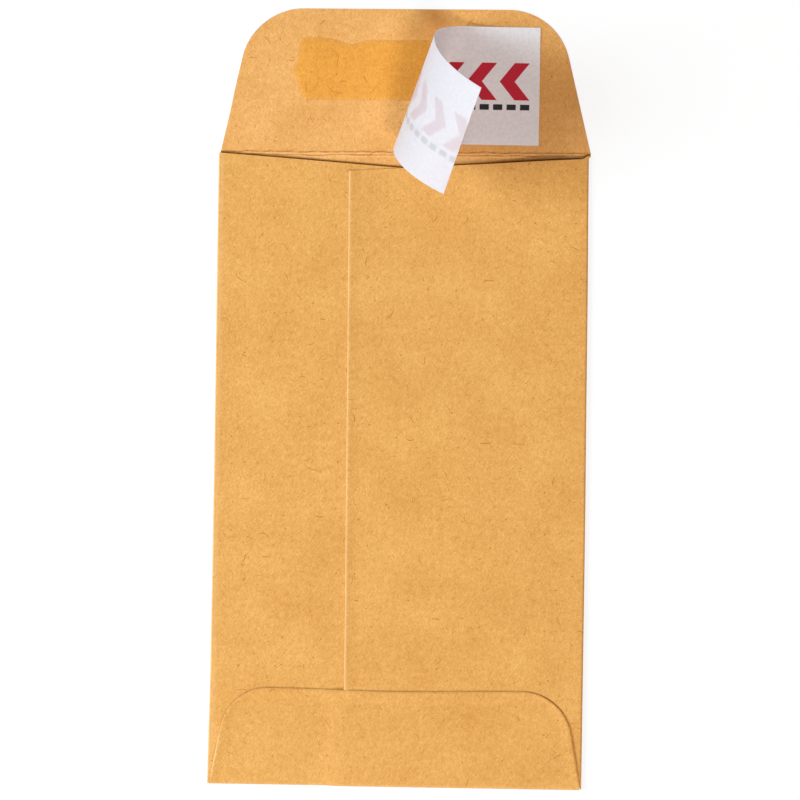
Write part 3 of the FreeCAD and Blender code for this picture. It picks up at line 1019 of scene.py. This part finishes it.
def thicken(shape, thickness, bevel, shift):
    """Closed mesh of paper around its middle surface, with cut edges thinned down on both sides.
    Faces of the cut edges have material 1."""
    blank = shape.verts.layers.float_vector["blank_place"]
    wear = shape.verts.layers.float["wear"]
    shape.verts.index_update()
    points, blanks, wear_and_highlight_values, sides, faces, edge_faces = [], [], [], [], [], []

    def add(vert, place, side):
        points.append(place + shift)
        blanks.append(vert[blank].copy())
        wear_and_highlight_values.append(vert[wear])
        sides.append(side)
        return len(points) - 1

    inner, outer, rim = {}, {}, {}
    for vert in shape.verts:
        step = inward_of(vert) * bevel if vert.is_boundary else Vector()
        inner[vert] = add(vert, vert.co + vert.normal * (thickness / 2) + step, 1.0)
        outer[vert] = add(vert, vert.co - vert.normal * (thickness / 2) + step, 0.0)
        if vert.is_boundary:
            rim[vert] = add(vert, vert.co, 0.5)
    for face in shape.faces:
        faces.append([inner[v] for v in face.verts])
        faces.append([outer[v] for v in reversed(face.verts)])
        for loop in face.loops:
            if loop.edge.is_boundary:
                a, b = loop.vert, loop.link_loop_next.vert
                edge_faces.append((inner[b], inner[a], rim[a], rim[b]))
                edge_faces.append((rim[b], rim[a], outer[a], outer[b]))
    mesh = bpy.data.meshes.new("envelope_paper")
    mesh.from_pydata(points, [], faces + edge_faces)
    mesh.attributes.new("blank_place", "FLOAT_VECTOR", "POINT").data.foreach_set(
        "vector", [number for place in blanks for number in place])
    mesh.attributes.new("wear", "FLOAT", "POINT").data.foreach_set("value", wear_and_highlight_values)
    mesh.attributes.new("inner_side", "FLOAT", "POINT").data.foreach_set("value", sides)
    mesh.polygons.foreach_set("material_index", [0] * len(faces) + [1] * len(edge_faces))
    mesh.polygons.foreach_set("use_smooth", [True] * len(mesh.polygons))
    mesh.update()
    return mesh


def place_piece(name, mesh, materials):
    """A finished piece of the envelope, riding on its one body."""
    piece = bpy.data.objects.new(name, mesh)
    bpy.context.scene.collection.objects.link(piece)
    for material in materials:
        mesh.materials.append(material)
    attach(piece, "root")
    return piece


# Operators, one for each piece

class COIN_OT_fold_sheet(Operator):
    """Fold the kraft sheet and put it in place of its solid"""
    bl_idname = "coin_envelope.fold_sheet"
    bl_label = "Fold the kraft sheet"

    def execute(self, context):
        sheet = context.scene.coin_sheet
        kraft = context.scene.coin_kraft
        shape = FoldedSheet(sheet).middle_mesh()
        mesh = thicken(shape, sheet.thickness, sheet.edge_bevel, Vector((0, SHEET_LOW.y, 0)))
        shape.free()
        finishes = [kraft_finish(kraft, sheet), cut_edge_finish(kraft)]
        piece = place_piece("folded_kraft_sheet", mesh, finishes)
        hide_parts("envelope_sheet")
        return {"FINISHED"}


# The left end of the adhesive: height on the patch from 0 to 1, and place along the flap
LEFT_END = ((0.0, -17.0 * MM), (0.07, -17.9 * MM), (0.32, -18.75 * MM), (0.47, -19.3 * MM),
            (0.54, -19.3 * MM), (0.64, -18.75 * MM), (0.80, -18.4 * MM), (1.0, -18.1 * MM))

# Place and half width of the hump in the upper edge, as shares of the patch's length
HUMP_PLACE, HUMP_WIDTH = 1.6 / 24, 1.7 / 24


def fine_ends(steps):
    """Shares from 0 to 1 in about so many steps, with a last step at each end a twelfth as long."""
    step = 1 / round(steps)
    return [0.0, step / 12] + spread(round(steps))[1:-1] + [1 - step / 12, 1.0]


def along_curve(points, place):
    """Value at a place on a smooth line through points."""
    for (start, first), (end, last) in zip(points, points[1:]):
        if place <= end:
            return first + (last - first) * ease(start, end, place)
    return points[-1][1]


def film_place(patch, part, up):
    """Place along and above the crease at shares of the patch's length and height, and how full
    the film is there."""
    left = along_curve(LEFT_END, up)
    whole = patch.right - left
    along = left + whole * part
    waver = patch.waver * noise.noise(Vector((along / (4.5 * MM), up * 2, 9.0)))
    dip = patch.dip * bell(patch.dip_place, patch.dip_width, along) * up
    hump = patch.hump * up ** 4 * bell(HUMP_PLACE, HUMP_WIDTH, part)
    above = patch.above_crease + patch.height * up + waver - dip + hump
    inward = min(part * whole, (1 - part) * whole, up * patch.height, (1 - up) * patch.height)
    return along, above, ease(0, patch.border, inward)


def film_mesh(patch, sheet):
    """Closed mesh of the adhesive film, thin at its border, with its underside in the paper."""
    folded = FoldedSheet(sheet)
    lengthwise = fine_ends((patch.right - LEFT_END[0][1]) / patch.pitch)
    upward = fine_ends(patch.height / patch.pitch)
    columns, rows = len(lengthwise) - 1, len(upward) - 1
    shape = bmesh.new()
    blank = shape.verts.layers.float_vector.new("blank_place")
    film = shape.verts.layers.float.new("film")

    def add(part, up, top):
        along, above, full = film_place(patch, part, up)
        x, y = folded.flap_point(along, above)
        height = patch.thickness * (0.03 + 0.95 * full) if top else -0.01 * MM
        vert = shape.verts.new((x, y + SHEET_LOW.y, sheet.thickness + height))
        vert[blank] = Vector((x, y, 0))
        vert[film] = full
        return vert

    under, over = [[[add(part, up, top) for part in lengthwise] for up in upward] for top in (False, True)]
    for j in range(rows):
        for i in range(columns):
            shape.faces.new((over[j][i], over[j][i + 1], over[j + 1][i + 1], over[j + 1][i]))
            shape.faces.new((under[j + 1][i], under[j + 1][i + 1], under[j][i + 1], under[j][i]))
    border = ([(0, i) for i in range(columns)] + [(j, columns) for j in range(rows)]
              + [(rows, i) for i in range(columns, 0, -1)] + [(j, 0) for j in range(rows, 0, -1)])
    for (row, column), (next_row, next_column) in zip(border, border[1:] + border[:1]):
        shape.faces.new((under[row][column], under[next_row][next_column],
                         over[next_row][next_column], over[row][column]))
    mesh = bpy.data.meshes.new("adhesive_film")
    shape.to_mesh(mesh)
    shape.free()
    mesh.polygons.foreach_set("use_smooth", [True] * len(mesh.polygons))
    return mesh


class COIN_OT_spread_adhesive(Operator):
    """Spread the adhesive patch on the closing flap"""
    bl_idname = "coin_envelope.spread_adhesive"
    bl_label = "Spread the adhesive patch"

    def execute(self, context):
        mesh = film_mesh(context.scene.coin_patch, context.scene.coin_sheet)
        finish = adhesive_finish(context.scene.coin_kraft)
        piece = place_piece("adhesive_patch", mesh, [finish])
        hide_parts("flap_adhesive")
        return {"FINISHED"}


class COIN_OT_finish_glue(Operator):
    """Give the dried gum in the side seam and under the bottom flap its finish"""
    bl_idname = "coin_envelope.finish_glue"
    bl_label = "Finish the dried gum"

    def execute(self, context):
        gum = gum_finish(context.scene.coin_kraft)
        for name in ("side_seam_glue", "bottom_flap_glue"):
            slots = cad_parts[name].data.materials
            slots.clear()
            slots.append(gum)
        return {"FINISHED"}


# Inputs of the peel's nodes, and the liner's settings that feed them
LINER_INPUTS = {
    "Length": "length", "Height": "height", "Thickness": "thickness", "Right end": "right_end",
    "Lift-off": "lift_off", "Curl radius": "curl_radius", "Curl length": "curl_length",
    "Blend length": "blend_length", "Tail radius": "tail_radius", "Lean": "lean",
    "Lean change": "lean_change", "Lean second change": "lean_second", "Lean span": "lean_span",
}


def beside_edges(tree, place, whole, count):
    """Moves the columns next to both ends of a strip close to them, which keeps its edges crisp."""
    gap = 0.03 * MM
    stretch = (whole - 2 * gap) / (whole * (1.0 - 2.0 / (count - 1.0)))
    return tree.clamped((place - whole * 0.5) * stretch + whole * 0.5, 0.0, whole)


def peel_group():
    """The node group of the peel with its inputs, still empty."""
    group = bpy.data.node_groups.new("Peel strip", "GeometryNodeTree")
    for kind, names in (("Float", [*LINER_INPUTS, "Lower edge", "Underside"]),
                        ("Int", ["Steps", "Columns", "Rows"]),
                        ("Material", ["Face finish", "Back finish"])):
        for name in names:
            group.interface.new_socket(name=name, in_out="INPUT", socket_type="NodeSocket" + kind)
    group.interface.new_socket(name="Geometry", in_out="OUTPUT", socket_type="NodeSocketGeometry")
    return group


def position(tree):
    """Place of each vertex, as moved so far."""
    return tree.node("GeometryNodeInputPosition").value()


def stored(tree, geometry, name, kind, domain, value):
    """Geometry that carries a value under a name."""
    settings = {"data_type": kind, "domain": domain}
    return tree.node("GeometryNodeStoreNamedAttribute", settings, geometry, None, name, value).value()


def flat_strip(tree, given, corner):
    """The strip before it is peeled, which remembers its flat places and its printed face."""
    extent = tree.joined(given.value("Length"), given.value("Height"), given.value("Thickness"))
    slab = tree.node("GeometryNodeMeshCube", None, extent, given.value("Columns"), given.value("Rows"), 2)
    centre = tree.vector("MULTIPLY_ADD", extent, (0.5, 0.5, 0.5), corner)
    flat = tree.node("GeometryNodeTransform", None, slab.value(), Translation=centre).value()
    along, across, above = tree.split(tree.vector("SUBTRACT", position(tree), corner))
    edged = tree.joined(beside_edges(tree, along, given.value("Length"), given.value("Columns")),
                        beside_edges(tree, across, given.value("Height"), given.value("Rows")), above)
    evened = tree.vector("ADD", edged, corner)
    spaced = tree.node("GeometryNodeSetPosition", None, flat, None, evened).value()
    local = tree.vector("SUBTRACT", position(tree), corner)
    placed = stored(tree, spaced, "strip_place", "FLOAT_VECTOR", "POINT", local)
    _, _, facing = tree.split(tree.node("GeometryNodeInputNormal").value())
    marked = stored(tree, placed, "printed_face", "BOOLEAN", "FACE", tree.math("GREATER_THAN", facing, 0.5))
    return tree.node("GeometryNodeSetShadeSmooth", None, marked, None, True).value()


def bent_once(tree, given, corner, strip, turn_number):
    """The strip turned about one bend line, which moves only what lies beyond that line."""
    step = given.value("Length") / given.value("Steps")
    bend = step * (given.value("Steps") - 0.5 - turn_number)
    part = bend / given.value("Lean span")
    lean = (given.value("Lean") + part * given.value("Lean change")
            + part * part * given.value("Lean second change"))
    easing = tree.clamped((bend - given.value("Curl length")) / given.value("Blend length"))
    tight, slack = 1.0 / given.value("Curl radius"), 1.0 / given.value("Tail radius")
    angle = (tight + (slack - tight) * easing) * step * tree.cosine(lean)
    middle = tree.joined(given.value("Lift-off") - bend,
                         given.value("Lower edge") + given.value("Height") * 0.5, given.value("Underside"))
    axis = tree.joined(tree.sine(lean), tree.cosine(lean))
    away = tree.joined(-tree.cosine(lean), tree.sine(lean))
    was = tree.vector("ADD", tree.node("GeometryNodeInputNamedAttribute", {"data_type": "FLOAT_VECTOR"},
                                       "strip_place").value(), corner)
    offset = tree.vector("SUBTRACT", was, middle)
    beyond = tree.node("ShaderNodeVectorMath", {"operation": "DOT_PRODUCT"}, offset, away).value(1)
    chosen = tree.math("GREATER_THAN", beyond, 0.0)
    rolled = tree.node("ShaderNodeVectorRotate", {"rotation_type": "AXIS_ANGLE"},
                       position(tree), middle, axis, angle).value()
    return tree.node("GeometryNodeSetPosition", None, strip, chosen, rolled).value()


def peel_tree():
    """Geometry nodes that roll a flat strip up along its bend lines, from its free end inwards."""
    group = peel_group()
    tree = Tree(group)
    given = tree.node("NodeGroupInput")
    corner = tree.joined(given.value("Right end") - given.value("Length"), given.value("Lower edge"),
                         given.value("Underside"))
    strip = flat_strip(tree, given, corner)
    start = tree.node("GeometryNodeRepeatInput")
    end = tree.node("GeometryNodeRepeatOutput")
    start.node.pair_with_output(end.node)
    tree.fill(start.node.inputs["Iterations"], given.value("Steps"))
    tree.fill(start.node.inputs["Geometry"], strip)
    bent = bent_once(tree, given, corner, start.value("Geometry"), start.value("Iteration"))
    tree.fill(end.node.inputs["Geometry"], bent)
    real = tree.node("GeometryNodeRealizeInstances", None, end.value("Geometry")).value()
    backed = tree.node("GeometryNodeSetMaterial", None, real, None, given.value("Back finish")).value()
    printed = tree.node("GeometryNodeInputNamedAttribute", {"data_type": "BOOLEAN"}, "printed_face").value()
    faced = tree.node("GeometryNodeSetMaterial", None, backed, printed, given.value("Face finish")).value()
    tree.node("NodeGroupOutput", None, faced)
    return group


class COIN_OT_peel_liner(Operator):
    """Peel the release liner back from its left end"""
    bl_idname = "coin_envelope.peel_liner"
    bl_label = "Peel the release liner"

    def execute(self, context):
        liner = context.scene.coin_liner
        sheet = context.scene.coin_sheet
        patch = context.scene.coin_patch
        face = liner_finish(liner, "liner_printed_face", liner.face[:], 1.0, 1.0, 0.55, 1.0)
        back = liner_finish(liner, "liner_release_back", liner.paper[:], 0.03, 0.06, 0.48, 0.4)
        group = peel_tree()
        inputs = {name: getattr(liner, setting) for name, setting in LINER_INPUTS.items()}
        inputs.update({
            "Lower edge": SHEET_LOW.y + sheet.body_height + liner.above_crease,
            "Underside": sheet.thickness + patch.thickness,
            "Steps": liner.steps, "Columns": liner.columns, "Rows": liner.rows,
            "Face finish": face, "Back finish": back,
        })
        blank = bpy.data.objects.new("liner_blank", bpy.data.meshes.new("liner_blank"))
        context.scene.collection.objects.link(blank)
        modifier = blank.modifiers.new("Peel strip", "NODES")
        modifier.node_group = group
        for item in group.interface.items_tree:
            if item.in_out == "INPUT":
                modifier[item.identifier] = inputs[item.name]
        context.view_layer.update()
        solid = blank.evaluated_get(context.evaluated_depsgraph_get())
        mesh = bpy.data.meshes.new_from_object(solid)
        bpy.data.objects.remove(blank)
        if not mesh.polygons:
            raise RuntimeError("the strip came out empty")
        piece = place_piece("peeled_release_liner", mesh, [])
        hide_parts("release_liner")
        return {"FINISHED"}


class COIN_OT_set_stage(Operator):
    """Lay the floor and place the lamps and the camera"""
    bl_idname = "coin_envelope.set_stage"
    bl_label = "Set the stage"

    def execute(self, context):
        stage = context.scene.coin_stage
        self.lay_floor(context, stage)
        self.light(context, stage)
        self.place_camera(context, stage)
        context.scene.view_settings.view_transform = "Standard"
        return {"FINISHED"}

    def lay_floor(self, context, stage):
        mesh = bpy.data.meshes.new("floor")
        half, depth = stage.floor_size / 2, -0.02 * MM
        corners = [(-half, -half, depth), (half, -half, depth), (half, half, depth), (-half, half, depth)]
        mesh.from_pydata(corners, [], [(0, 1, 2, 3)])
        floor = bpy.data.objects.new("floor", mesh)
        context.scene.collection.objects.link(floor)
        material = bpy.data.materials.new("pale_floor")
        material.use_nodes = True
        tree = Tree(material.node_tree)
        material.node_tree.nodes.clear()
        matt = tree.node("ShaderNodeBsdfDiffuse", None, stage.floor[:]).value()
        shadowed = tree.node("ShaderNodeBsdfDiffuse", None, (stage.floor_seen,) * 3).value()
        glow = tree.node("ShaderNodeEmission", None, (1.0, 1.0, 1.0), stage.floor_glow).value()
        seen = tree.node("ShaderNodeAddShader", None, shadowed, glow).value()
        both = tree.node("ShaderNodeMixShader", None, seen_directly(tree), matt, seen).value()
        tree.node("ShaderNodeOutputMaterial", None, both)
        mesh.materials.append(material)

    def light(self, context, stage):
        for name, power, size, tone, place in (
                ("key_lamp", stage.key, stage.key_size, stage.key_tone, stage.key_place),
                ("fill_lamp", stage.fill, stage.fill_size, stage.fill_tone, stage.fill_place)):
            lamp = bpy.data.lights.new(name, "AREA")
            lamp.energy = power
            lamp.size = size
            lamp.color = tone
            piece = bpy.data.objects.new(name, lamp)
            piece.location = place
            piece.rotation_euler = Vector(place).to_track_quat("Z", "Y").to_euler()
            context.scene.collection.objects.link(piece)
        world = bpy.data.worlds.new("studio")
        world.use_nodes = True
        world.node_tree.nodes.clear()
        tree = Tree(world.node_tree)
        seen = seen_directly(tree)
        tone = tree.mixed(seen, stage.fill_tone[:], (1.0, 1.0, 1.0))
        sky = tree.node("ShaderNodeBackground", None, tone, seen + (1.0 - seen) * stage.sky).value()
        tree.node("ShaderNodeOutputWorld", None, sky)
        context.scene.world = world

    def place_camera(self, context, stage):
        camera = bpy.data.cameras.new("camera")
        camera.sensor_width = 36
        camera.lens = stage.lens
        piece = bpy.data.objects.new("camera", camera)
        turned = (Matrix.Rotation(stage.roll, 3, "Z") @ Matrix.Rotation(stage.pitch, 3, "X")
                  @ Matrix.Rotation(stage.yaw, 3, "Y")).transposed()
        target = Vector((stage.target_x, SHEET_LOW.y + stage.target_y, 0))
        place = target + turned @ Vector((0, 0, stage.distance))
        piece.matrix_world = Matrix.Translation(place) @ turned.to_4x4()
        context.scene.collection.objects.link(piece)
        context.scene.camera = piece


def seen_directly(tree):
    """1 for rays from the camera, a mirror or glass, and 0 for light on its way to the object."""
    path = tree.node("ShaderNodeLightPath")
    return tree.most(path.value("Is Camera Ray"),
                     tree.most(path.value("Is Glossy Ray"), path.value("Is Transmission Ray")))


class COIN_PT_steps(Panel):
    """Steps that dress the envelope"""
    bl_label = "Coin envelope"
    bl_idname = "COIN_PT_steps"
    bl_space_type = "VIEW_3D"
    bl_region_type = "UI"
    bl_category = "Envelope"

    def draw(self, context):
        for step in STEPS:
            self.layout.operator(step.bl_idname)
        for name in SETTINGS:
            group = getattr(context.scene, name)
            box = self.layout.box()
            for setting in group.bl_rna.properties:
                if not setting.is_readonly and setting.identifier != "name":
                    box.prop(group, setting.identifier)


STEPS = (COIN_OT_fold_sheet, COIN_OT_spread_adhesive, COIN_OT_finish_glue, COIN_OT_peel_liner,
         COIN_OT_set_stage)
SETTINGS = {
    "coin_sheet": PaperSheetSettings,
    "coin_kraft": KraftSettings,
    "coin_patch": PatchSettings,
    "coin_liner": LinerSettings,
    "coin_stage": StageSettings,
}


def register():
    for name, group in SETTINGS.items():
        bpy.utils.register_class(group)
        setattr(bpy.types.Scene, name, PointerProperty(type=group))
    for step in STEPS:
        bpy.utils.register_class(step)
    bpy.utils.register_class(COIN_PT_steps)


def unregister():
    bpy.utils.unregister_class(COIN_PT_steps)
    for step in reversed(STEPS):
        bpy.utils.unregister_class(step)
    for name, group in SETTINGS.items():
        delattr(bpy.types.Scene, name)
        bpy.utils.unregister_class(group)


def main():
    register()
    bpy.ops.coin_envelope.fold_sheet()
    bpy.ops.coin_envelope.spread_adhesive()
    bpy.ops.coin_envelope.finish_glue()
    bpy.ops.coin_envelope.peel_liner()
    bpy.ops.coin_envelope.set_stage()


if __name__ == "__main__":
    main()
